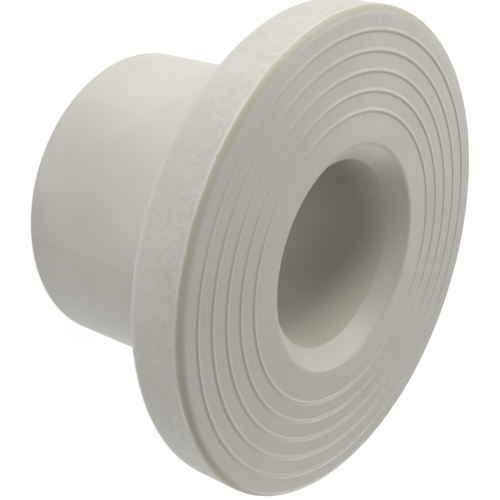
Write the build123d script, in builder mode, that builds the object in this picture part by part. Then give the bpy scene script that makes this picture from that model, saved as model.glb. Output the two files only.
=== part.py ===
import os

from build123d import *

os.makedirs("parts", exist_ok=True)

# One-piece polypropylene stub flange for 90 mm pipe, in millimetres.
# It stands on its weld end at z = 0, with the sealing face up and the flow along +Z.

# Overall form
overall_length = 80.0
spigot_diameter = 90.0
bore_diameter = 54.0
weld_edge_chamfer = 0.5

# Collar, which the loose backing ring clamps
collar_diameter = 138.0
collar_thickness = 17.0
front_edge_chamfer = 1.5
front_edge_blend = 2.0
back_edge_chamfer = 0.9
back_edge_blend = 1.4

# Neck behind the collar, where the backing ring is centred
neck_diameter = 105.0
neck_length = 7.0
neck_root_chamfer = 2.0
neck_root_blend = 3.0
neck_taper_length = 7.5

# Conical mouth of the bore
mouth_diameter = 64.0
mouth_depth = 5.2
mouth_lip_radius = 1.4

# Raised concentric beads of the sealing face, which bite into the gasket
bead_count = 5
bead_edge_margin = 6.5
bead_pitch = 5.28
bead_width = 1.2
bead_height = 0.35
bead_flank_angle = 45.0

bore_radius = bore_diameter / 2
spigot_radius = spigot_diameter / 2
neck_radius = neck_diameter / 2
collar_radius = collar_diameter / 2
mouth_radius = mouth_diameter / 2
outer_bead_radius = collar_radius - bead_edge_margin

# The tops of the beads are the top of the part, and the flat lands between them lie lower.
face_z = overall_length - bead_height
mouth_end_z = face_z - mouth_depth
front_edge_z = face_z - front_edge_chamfer
collar_back_z = face_z - collar_thickness
neck_end_z = collar_back_z - neck_length
taper_end_z = neck_end_z - neck_taper_length

# Corners of the section that moulding leaves soft, as (radius, height): blend radius
soft_corners = {
    (neck_radius, collar_back_z - neck_root_chamfer): neck_root_blend,
    (neck_radius + neck_root_chamfer, collar_back_z): neck_root_blend,
    (collar_radius - back_edge_chamfer, collar_back_z): back_edge_blend,
    (collar_radius, collar_back_z + back_edge_chamfer): back_edge_blend,
    (collar_radius - front_edge_chamfer, face_z): front_edge_blend,
    (mouth_radius, face_z): mouth_lip_radius,
}

with BuildPart() as stub_flange:
    # Half section through the wall: X is the radius and Y the height above the weld end
    with BuildSketch(Plane.XZ) as section:
        with BuildLine():
            Polyline(
                (bore_radius, 0),
                (spigot_radius - weld_edge_chamfer, 0),
                (spigot_radius, weld_edge_chamfer),
                (spigot_radius, taper_end_z),
                (neck_radius, neck_end_z),
                (neck_radius, collar_back_z - neck_root_chamfer),
                (neck_radius + neck_root_chamfer, collar_back_z),
                (collar_radius - back_edge_chamfer, collar_back_z),
                (collar_radius, collar_back_z + back_edge_chamfer),
                (collar_radius, front_edge_z),
                (collar_radius - front_edge_chamfer, face_z),
                (mouth_radius, face_z),
                (bore_radius, mouth_end_z),
                close=True,
            )
        make_face()

        for corner, blend_radius in soft_corners.items():
            fillet(section.vertices().sort_by_distance(corner)[0], blend_radius)

        # Beads, each with sloped flanks and a flat crown
        with Locations([(outer_bead_radius - ring * bead_pitch, face_z) for ring in range(bead_count)]):
            Trapezoid(bead_width, bead_height, bead_flank_angle, align=(Align.CENTER, Align.MIN))

    revolve(axis=Axis.Z)

stub_flange.part.label = "stub_flange"
export_step(stub_flange.part, "parts/stub_flange.step")
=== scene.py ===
import math

import bpy
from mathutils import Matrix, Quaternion, Vector, noise


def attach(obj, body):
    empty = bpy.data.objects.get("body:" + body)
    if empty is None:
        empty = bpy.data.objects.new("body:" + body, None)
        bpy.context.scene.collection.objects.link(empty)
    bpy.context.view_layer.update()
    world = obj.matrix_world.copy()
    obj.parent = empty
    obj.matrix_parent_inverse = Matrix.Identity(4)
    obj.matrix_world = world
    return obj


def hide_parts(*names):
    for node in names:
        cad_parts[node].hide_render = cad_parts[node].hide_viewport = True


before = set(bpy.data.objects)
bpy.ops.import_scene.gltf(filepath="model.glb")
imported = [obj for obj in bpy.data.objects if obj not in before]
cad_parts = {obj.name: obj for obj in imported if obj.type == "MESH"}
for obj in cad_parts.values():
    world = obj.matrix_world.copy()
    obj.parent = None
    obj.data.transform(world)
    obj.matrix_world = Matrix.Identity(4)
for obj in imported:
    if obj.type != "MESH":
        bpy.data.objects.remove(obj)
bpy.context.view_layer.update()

MM = 0.001

# Sizes of the stub flange, in millimetres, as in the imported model
BORE_R = 27.0
SPIGOT_R = 45.0
NECK_R = 52.5
COLLAR_R = 69.0
MOUTH_R = 32.0
MOUTH_DEPTH = 5.2
FACE_Z = 79.65
COLLAR_BACK_Z = 62.65
NECK_END_Z = 55.65
TAPER_END_Z = 48.15
BACK_EDGE_BLEND = 3.0
FRONT_EDGE_DROP = 1.5
FRONT_EDGE_ANGLE = math.radians(54)
CRISP_CORNER = 0.25
CRISP_EDGE_BLEND = 3.0
SOFT_CORNER = 1.7
SOFT_EDGE_BLEND = 2.3
BEAD_COUNT = 5
BEAD_OUTER_R = 62.5
BEAD_PITCH = 5.28
BEAD_HEIGHT = 0.25
BEAD_HALF_WIDTH = 0.78
BEAD_HALF_CROWN = 0.14

# The faint line that the mould's two halves leave along the spigot
PARTING_ANGLE = math.radians(-61.9)
PARTING_DEPTH = 0.04
PARTING_HALF_WIDTH = 0.7

# Inner end of the smooth band inside the front edge, where the face's grain starts
FACE_RIM_R = 66.5
FACE_GRAIN = 0.3

# Share of the deeper tan on the face and each smooth part, and the way that the beads' flanks with painted
# tan shade face, away from the light
FACE_TAN = 0.25
# In the bore and on the round into its mouth, this tan is painted shade
BORE_PAINTED_SHADE = 0.35
LIP_PAINTED_SHADE = 0.55
PARTING_TAN = 0.3
BEAD_SHADE_MIDDLE = math.radians(340)

# The plastic's colours and roughness
DARK_SKIN = (0.501, 0.487, 0.435, 1)
LIGHT_SKIN = (0.614, 0.599, 0.547, 1)
TAN_COLOUR = (0.470, 0.438, 0.345, 1)
PALE_COLOUR = (0.74, 0.74, 0.71, 1)
SMOOTH_ROUGHNESS = 0.45
GRAIN_ROUGHNESS = 0.6

# Share of the paler colour painted as a highlight on the back edge's round, and of the paler colour along
# the trimmed front edge, and where that edge is
BACK_EDGE_HIGHLIGHT = 0.3
EDGE_PALE = 0.5
TRIMMED_MIDDLE = math.radians(265)
NICK_LEVEL = 0.32
NICK_DEPTH = 0.5

# Columns of the mesh round the part, and how far the points that keep a straight flat lie from its ends
COLUMNS = 480
SUPPORT = 0.3


# Section of the part


def section_corners(angle):
    """Corners of the half section at this angle, outwards from the bore.

    Each is (radius, height, blend radius, steps of the blend's arc).
    """
    drop = edge_drop(angle)
    crisp = trimmed_at(angle)
    corners = [
        (BORE_R, 0.0, 0.2, 2),
        (SPIGOT_R - 0.5, 0.0, 0.2, 2),
        (SPIGOT_R, 0.5, 0.3, 2),
        (SPIGOT_R, TAPER_END_Z, 3.0, 5),
        (NECK_R, NECK_END_Z, 2.0, 5),
        (NECK_R, COLLAR_BACK_Z, 3.0, 7),
        (COLLAR_R, COLLAR_BACK_Z, BACK_EDGE_BLEND, 10),
        (COLLAR_R, FACE_Z - drop, SOFT_CORNER + (CRISP_CORNER - SOFT_CORNER) * crisp, 5),
        (
            COLLAR_R - drop / math.tan(FRONT_EDGE_ANGLE),
            FACE_Z,
            (SOFT_EDGE_BLEND + (CRISP_EDGE_BLEND - SOFT_EDGE_BLEND) * crisp) * drop / FRONT_EDGE_DROP,
            12,
        ),
    ]
    for middle in bead_radii():
        corners += [
            (middle + BEAD_HALF_WIDTH, FACE_Z, 0.6, 3),
            (middle + BEAD_HALF_CROWN, FACE_Z + BEAD_HEIGHT, 0.5, 4),
            (middle - BEAD_HALF_CROWN, FACE_Z + BEAD_HEIGHT, 0.5, 4),
            (middle - BEAD_HALF_WIDTH, FACE_Z, 0.6, 3),
        ]
    corners += [
        (MOUTH_R, FACE_Z, 2.4, 8),
        (BORE_R, FACE_Z - MOUTH_DEPTH, 0.5, 4),
    ]
    return corners


def blended(corners):
    """The closed line through these corners, each rounded by an arc.

    Points near the ends of each long straight keep it flat under smooth shading.
    """
    arcs = []
    for i, (radius, height, blend, steps) in enumerate(corners):
        here = Vector((radius, height))
        before = Vector(corners[i - 1][:2]) - here
        after = Vector(corners[(i + 1) % len(corners)][:2]) - here
        half_turn = (math.pi - before.angle(after)) / 2
        reach = blend * math.tan(half_turn)
        inwards = (before.normalized() + after.normalized()).normalized()
        centre = here + inwards * blend / math.cos(half_turn)
        start = here + before.normalized() * reach
        end = here + after.normalized() * reach
        arc = []
        for step in range(steps + 1):
            spoke = (start - centre).slerp(end - centre, step / steps).normalized()
            arc.append(centre + spoke * blend)
        arcs.append(arc)
    points = []
    for i, arc in enumerate(arcs):
        points += arc
        straight = arcs[(i + 1) % len(arcs)][0] - arc[-1]
        if straight.length > 3 * SUPPORT:
            points.append(arc[-1] + straight.normalized() * SUPPORT)
            points.append(arc[-1] + straight - straight.normalized() * SUPPORT)
    return points


def column_angles():
    """Angles of the mesh's columns, closer together beside the parting lines."""
    angles = {2 * math.pi * i / COLUMNS for i in range(COLUMNS)}
    for line in (PARTING_ANGLE, PARTING_ANGLE + math.pi):
        for offset in (-1.4, -0.9, -0.45, 0.0, 0.45, 0.9, 1.4):
            angles.add((line + math.radians(offset)) % (2 * math.pi))
    return sorted(angles)


def ring_noise(angle, size, seed):
    """Noise, from about -1 to 1, that joins up round the part; a larger size makes it finer."""
    return noise.noise(Vector((size * math.cos(angle), size * math.sin(angle), seed)))


def trimmed_at(angle):
    """1 where the front edge is crisp because its flash was trimmed, 0 where the edge is soft."""
    return smooth_step(0.2, 0.6, math.cos(angle - TRIMMED_MIDDLE))


def edge_drop(angle):
    """How far below the face the front edge lies at this angle: it wanders, and has small nicks."""
    slow = ring_noise(angle, 9, 1.7)
    fast = ring_noise(angle, 34, 5.2)
    nick = max(0.0, ring_noise(angle, 60, 9.4) - NICK_LEVEL)
    return FRONT_EDGE_DROP + 0.08 * slow + trimmed_at(angle) * (0.06 * fast - NICK_DEPTH * nick)


def parting_at(angle):
    """1 on the two lines that the mould's halves leave along the spigot, and 0 beside them."""
    share = 0.0
    for line in (PARTING_ANGLE, PARTING_ANGLE + math.pi):
        away = math.degrees(math.remainder(angle - line, 2 * math.pi))
        share += math.exp(-((away / PARTING_HALF_WIDTH) ** 2))
    return share


def smooth_step(low, high, value):
    share = min(1.0, max(0.0, (value - low) / (high - low)))
    return share * share * (3 - 2 * share)


def bead_radii():
    """Radii of the beads' middles, from the outermost in."""
    return [BEAD_OUTER_R - ring * BEAD_PITCH for ring in range(BEAD_COUNT)]


def off_bead(radius):
    """How far outside the middle of the nearest bead this radius is, or inside it if below 0."""
    return min((radius - middle for middle in bead_radii()), key=abs)


def near_bead(radius):
    """1 on the flanks and crown of a bead, 0 on the lands between."""
    return 1 - smooth_step(BEAD_HALF_WIDTH - 0.2, BEAD_HALF_WIDTH + 0.15, abs(off_bead(radius)))


def grain_at(radius, height):
    """How strongly the spark-eroded grain shows here: on the collar's rim and the sealing face only."""
    rim_start_z = COLLAR_BACK_Z + BACK_EDGE_BLEND
    on_rim = smooth_step(COLLAR_R - 0.35, COLLAR_R - 0.02, radius)
    on_rim *= smooth_step(rim_start_z - 0.2, rim_start_z + 0.8, height)
    on_rim *= 1 - smooth_step(FACE_Z - 1.9, FACE_Z - 1.5, height)
    on_face = FACE_GRAIN * smooth_step(FACE_Z - 0.06, FACE_Z - 0.01, height)
    on_face *= smooth_step(MOUTH_R + 0.5, MOUTH_R + 1.5, radius)
    on_face *= 1 - smooth_step(FACE_RIM_R - 0.3, FACE_RIM_R + 0.3, radius)
    on_face *= 1 - 0.7 * near_bead(radius)
    return max(on_rim, on_face)


def bead_painted_shade(radius, height, angle):
    """How much tan, painted as shade, lies on a bead's flank here: it is there where the flank faces the
    direction set above, away from the light.
    """
    # Painted shade: the tan goes on whichever flank faces away from the light, so it swaps sides halfway
    # round
    facing = math.copysign(1.0, off_bead(radius)) * math.cos(angle - BEAD_SHADE_MIDDLE)
    flank = near_bead(radius) * (1 - smooth_step(FACE_Z + 0.2, FACE_Z + 0.29, height))
    return flank * smooth_step(0.0, 0.7, facing)


def tan_at(radius, height, angle):
    """How much of the plastic's deeper tan shows here, where the surface is smooth and not grained; in the
    bore, on the round into the mouth and on the beads' flanks it is painted shade, and on the band inside
    the front edge partly so.
    """
    # Painted shade: darker tan inside the bore and on the round into its mouth
    if radius < MOUTH_R + 1.5 and height > 1.0:
        lip = LIP_PAINTED_SHADE * smooth_step(MOUTH_R - 1.8, MOUTH_R - 0.3, radius)
        lip *= 1 - smooth_step(MOUTH_R + 0.2, MOUTH_R + 1.5, radius)
        return max(lip, BORE_PAINTED_SHADE if radius < MOUTH_R else FACE_TAN)
    # The band inside the front edge: deeper tan, partly the smooth plastic's own colour and partly painted
    # shade
    corner_z = FACE_Z - FRONT_EDGE_DROP
    band = smooth_step(FACE_RIM_R - 0.6, FACE_RIM_R + 1.8, radius)
    band *= smooth_step(corner_z - 0.1 - 0.6 * (1 - trimmed_at(angle)), corner_z + 0.15, height)
    if height < FACE_Z - 0.01:
        return band
    return max(band, FACE_TAN, bead_painted_shade(radius, height, angle))


def pale_at(radius, height, angle):
    """How pale the plastic is here: a painted highlight on the back edge's round, and paler along the
    trimmed front edge.
    """
    rim_start_z = COLLAR_BACK_Z + BACK_EDGE_BLEND
    if radius < COLLAR_R - BACK_EDGE_BLEND:
        return 0.0
    if height < rim_start_z + 0.5:
        # Painted highlight: the back edge's round is made paler
        return BACK_EDGE_HIGHLIGHT * (1 - smooth_step(COLLAR_BACK_Z + 1.2, rim_start_z + 0.4, height))
    if radius < COLLAR_R - 0.2 or height < FACE_Z - edge_drop(angle) - 0.25:
        return 0.0
    patch = min(1.0, max(0.0, 0.8 + ring_noise(angle, 5, 3.1)))
    return EDGE_PALE * trimmed_at(angle) * patch


def build_flange():
    """The whole moulding as one closed mesh, turned from its section."""
    vertices = []
    grain = []
    tan = []
    pale = []
    angles = column_angles()
    per_column = 0
    for angle in angles:
        section = blended(section_corners(angle))
        per_column = len(section)
        for radius, height in section:
            on_spigot = SPIGOT_R - 0.01 < radius < SPIGOT_R + 0.01 and height < TAPER_END_Z - 1
            groove = parting_at(angle) if on_spigot else 0.0
            outside = radius - PARTING_DEPTH * groove
            vertices.append((outside * math.cos(angle) * MM, outside * math.sin(angle) * MM, height * MM))
            grain.append(grain_at(radius, height))
            tan.append(PARTING_TAN * groove if on_spigot else tan_at(radius, height, angle))
            pale.append(pale_at(radius, height, angle))
    faces = []
    for column in range(len(angles)):
        this = column * per_column
        that = ((column + 1) % len(angles)) * per_column
        for i in range(per_column):
            j = (i + 1) % per_column
            faces.append((this + i, that + i, that + j, this + j))
    mesh = bpy.data.meshes.new("stub_flange_moulding")
    mesh.from_pydata(vertices, [], faces)
    mesh.attributes.new("grain", "FLOAT", "POINT").data.foreach_set("value", grain)
    mesh.attributes.new("tan", "FLOAT", "POINT").data.foreach_set("value", tan)
    mesh.attributes.new("pale", "FLOAT", "POINT").data.foreach_set("value", pale)
    mesh.shade_smooth()
    mesh.validate()
    piece = bpy.data.objects.new("stub_flange_moulding", mesh)
    bpy.context.scene.collection.objects.link(piece)
    return piece


# Materials


class Nodes:
    """A node tree, emptied, with short calls to add and join nodes."""

    def __init__(self, tree):
        self.tree = tree
        self.tree.nodes.clear()

    def add(self, kind, inputs=None, **settings):
        node = self.tree.nodes.new(kind)
        for key, value in settings.items():
            setattr(node, key, value)
        for key, value in (inputs or {}).items():
            self.put(value, node.inputs[key])
        return node

    def put(self, value, socket):
        if isinstance(value, bpy.types.NodeSocket):
            self.tree.links.new(value, socket)
        else:
            socket.default_value = value

    def maths(self, operation, *values):
        node = self.add("ShaderNodeMath", operation=operation)
        for value, socket in zip(values, node.inputs):
            self.put(value, socket)
        return node.outputs[0]

    def mixed(self, share, first, second):
        """The first colour, turned into the second one by this share."""
        node = self.add("ShaderNodeMix", data_type="RGBA")
        self.put(share, node.inputs[0])
        self.put(first, node.inputs[6])
        self.put(second, node.inputs[7])
        return node.outputs[2]


def moulded_plastic():
    """Warm light grey polypropylene, satin where the mould was smooth and grainy where it was eroded."""
    material = bpy.data.materials.new("moulded_polypropylene")
    material.use_nodes = True
    n = Nodes(material.node_tree)
    place = n.add("ShaderNodeTexCoord").outputs["Object"]
    grain = n.add("ShaderNodeAttribute", attribute_name="grain").outputs["Fac"]
    tan = n.add("ShaderNodeAttribute", attribute_name="tan").outputs["Fac"]
    pale = n.add("ShaderNodeAttribute", attribute_name="pale").outputs["Fac"]

    fine = n.add("ShaderNodeTexNoise", {"Vector": place, "Scale": 900.0, "Detail": 3.0, "Roughness": 0.6})
    coarse = n.add("ShaderNodeTexNoise", {"Vector": place, "Scale": 420.0, "Detail": 2.0, "Roughness": 0.5})
    cloud = n.add("ShaderNodeTexNoise", {"Vector": place, "Scale": 40.0, "Detail": 3.0, "Roughness": 0.55})
    mixed_height = n.maths("MULTIPLY", n.maths("ADD", coarse.outputs["Fac"], fine.outputs["Fac"]), 0.5)
    relief = n.maths("MULTIPLY", n.maths("SUBTRACT", mixed_height, 0.5), grain)
    bump = n.add("ShaderNodeBump", {"Height": relief, "Strength": 1.0, "Distance": 0.0005})

    tone = n.maths("ADD", cloud.outputs["Fac"], n.maths("MULTIPLY", relief, 1.6))
    skin = n.add("ShaderNodeValToRGB", {"Fac": tone})
    skin.color_ramp.elements[0].position = 0.1
    skin.color_ramp.elements[0].color = DARK_SKIN
    skin.color_ramp.elements[1].position = 0.9
    skin.color_ramp.elements[1].color = LIGHT_SKIN
    # The tan mixed in here is partly painted shade, and the pale partly a painted highlight on the back
    # edge
    tanned = n.mixed(tan, skin.outputs["Color"], TAN_COLOUR)
    colour = n.mixed(pale, tanned, PALE_COLOUR)

    rougher = n.maths("MULTIPLY", grain, GRAIN_ROUGHNESS - SMOOTH_ROUGHNESS)
    roughness = n.maths("ADD", SMOOTH_ROUGHNESS, rougher)
    shader = n.add(
        "ShaderNodeBsdfPrincipled",
        {"Base Color": colour, "Roughness": roughness, "Normal": bump.outputs["Normal"]},
    )
    shader.inputs["IOR"].default_value = 1.49
    n.add("ShaderNodeOutputMaterial", {"Surface": shader.outputs["BSDF"]})
    return material


def seen_white(n):
    """1 for rays from the camera, reflections and glass, which see a white background, and 0 for light."""
    path = n.add("ShaderNodeLightPath")
    seen = n.maths("MAXIMUM", path.outputs["Is Camera Ray"], path.outputs["Is Glossy Ray"])
    return n.maths("MAXIMUM", seen, path.outputs["Is Transmission Ray"])


def floor_paint():
    """Pale floor: white with a soft shadow to the camera, and plain matt paint to the light."""
    material = bpy.data.materials.new("pale_floor")
    material.use_nodes = True
    n = Nodes(material.node_tree)
    paint = n.add("ShaderNodeBsdfDiffuse", {"Color": (0.85, 0.85, 0.85, 1)})
    glow = n.add("ShaderNodeEmission", {"Color": (1, 1, 1, 1), "Strength": 0.86})
    shade = n.add("ShaderNodeBsdfDiffuse", {"Color": (0.3, 0.3, 0.3, 1)})
    white = n.add("ShaderNodeAddShader")
    n.put(glow.outputs[0], white.inputs[0])
    n.put(shade.outputs[0], white.inputs[1])
    mix = n.add("ShaderNodeMixShader", {"Fac": seen_white(n)})
    n.put(paint.outputs[0], mix.inputs[1])
    n.put(white.outputs[0], mix.inputs[2])
    n.add("ShaderNodeOutputMaterial", {"Surface": mix.outputs[0]})
    return material


# Floor, lights and camera


def build_floor():
    size = 4.0
    corners = [(-size, -size, 0), (size, -size, 0), (size, size, 0), (-size, size, 0)]
    mesh = bpy.data.meshes.new("floor")
    mesh.from_pydata(corners, [], [(0, 1, 2, 3)])
    floor = bpy.data.objects.new("floor", mesh)
    floor.location.z = -0.00005
    mesh.materials.append(floor_paint())
    bpy.context.scene.collection.objects.link(floor)


def add_lamp(name, azimuth, elevation, power):
    """A square soft lamp in that direction, in degrees, from the part's middle, and turned towards it."""
    across = math.cos(math.radians(elevation))
    away = Vector(
        (
            across * math.cos(math.radians(azimuth)),
            across * math.sin(math.radians(azimuth)),
            math.sin(math.radians(elevation)),
        )
    )
    data = bpy.data.lights.new(name, "AREA")
    data.size = LAMP_SIZE
    data.energy = power
    lamp = bpy.data.objects.new(name, data)
    lamp.location = Vector((0, 0, LAMP_AIM_Z)) + away * LAMP_DISTANCE
    lamp.rotation_euler = away.to_track_quat("Z", "Y").to_euler()
    lamp.visible_camera = False
    bpy.context.scene.collection.objects.link(lamp)


def add_bore_lamp():
    """Soft light that comes up the bore, as it does from a pale background at the open lower end."""
    data = bpy.data.lights.new("lamp_bore", "AREA")
    data.shape = "DISK"
    data.size = 2 * BORE_LAMP_R
    data.energy = BORE_LAMP_POWER
    lamp = bpy.data.objects.new("lamp_bore", data)
    lamp.location = (0, 0, BORE_LAMP_Z)
    lamp.rotation_euler = (math.pi, 0, 0)
    lamp.visible_camera = False
    bpy.context.scene.collection.objects.link(lamp)


# Soft lamps around the part: azimuth and elevation in degrees, and power in watts
LAMPS = {
    "key_lamp": (225, 8, 5.0),
    "left_lamp": (180, 35, 3.0),
    "front_lamp": (270, 8, 1.5),
    "right_fill": (0, 8, 3.5),
    "back_lamp": (60, 15, 2.0),
    "high_back_lamp": (120, 40, 3.0),
}
LAMP_SIZE = 0.45
LAMP_DISTANCE = 0.9
LAMP_AIM_Z = 0.04
BORE_LAMP_R = 0.024
BORE_LAMP_Z = 0.0005
BORE_LAMP_POWER = 0.006

# The camera, in metres and degrees, and the direction from what it looks at back to it
CAMERA_SENSOR_MM = 36.0
CAMERA_LENS_MM = 78.05
CAMERA_PLACE = (0.0, -0.25866, 0.22951)
CAMERA_DIRECTION = (-0.018359, -0.816948, 0.576419)
CAMERA_ROLL = 107.895


def build_lights():
    for name, (azimuth, elevation, power) in LAMPS.items():
        add_lamp(name, azimuth, elevation, power)
    add_bore_lamp()
    build_world()


def build_world():
    """A studio that is white to the camera and in reflections, and adds no light of its own."""
    world = bpy.data.worlds.new("studio")
    bpy.context.scene.world = world
    world.use_nodes = True
    n = Nodes(world.node_tree)
    background = n.add("ShaderNodeBackground", {"Color": (1, 1, 1, 1), "Strength": seen_white(n)})
    n.add("ShaderNodeOutputWorld", {"Surface": background.outputs[0]})


def build_camera():
    data = bpy.data.cameras.new("camera")
    data.sensor_width = CAMERA_SENSOR_MM
    data.lens = CAMERA_LENS_MM
    camera = bpy.data.objects.new("camera", data)
    camera.location = CAMERA_PLACE
    camera.rotation_mode = "QUATERNION"
    roll = Quaternion((0, 0, 1), math.radians(CAMERA_ROLL))
    camera.rotation_quaternion = Vector(CAMERA_DIRECTION).to_track_quat("Z", "Y") @ roll
    bpy.context.scene.collection.objects.link(camera)
    bpy.context.scene.camera = camera


flange = build_flange()
flange.data.materials.append(moulded_plastic())
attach(flange, "root")
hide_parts("stub_flange")

build_floor()
build_lights()
build_camera()
bpy.context.scene.view_settings.view_transform = "Standard"
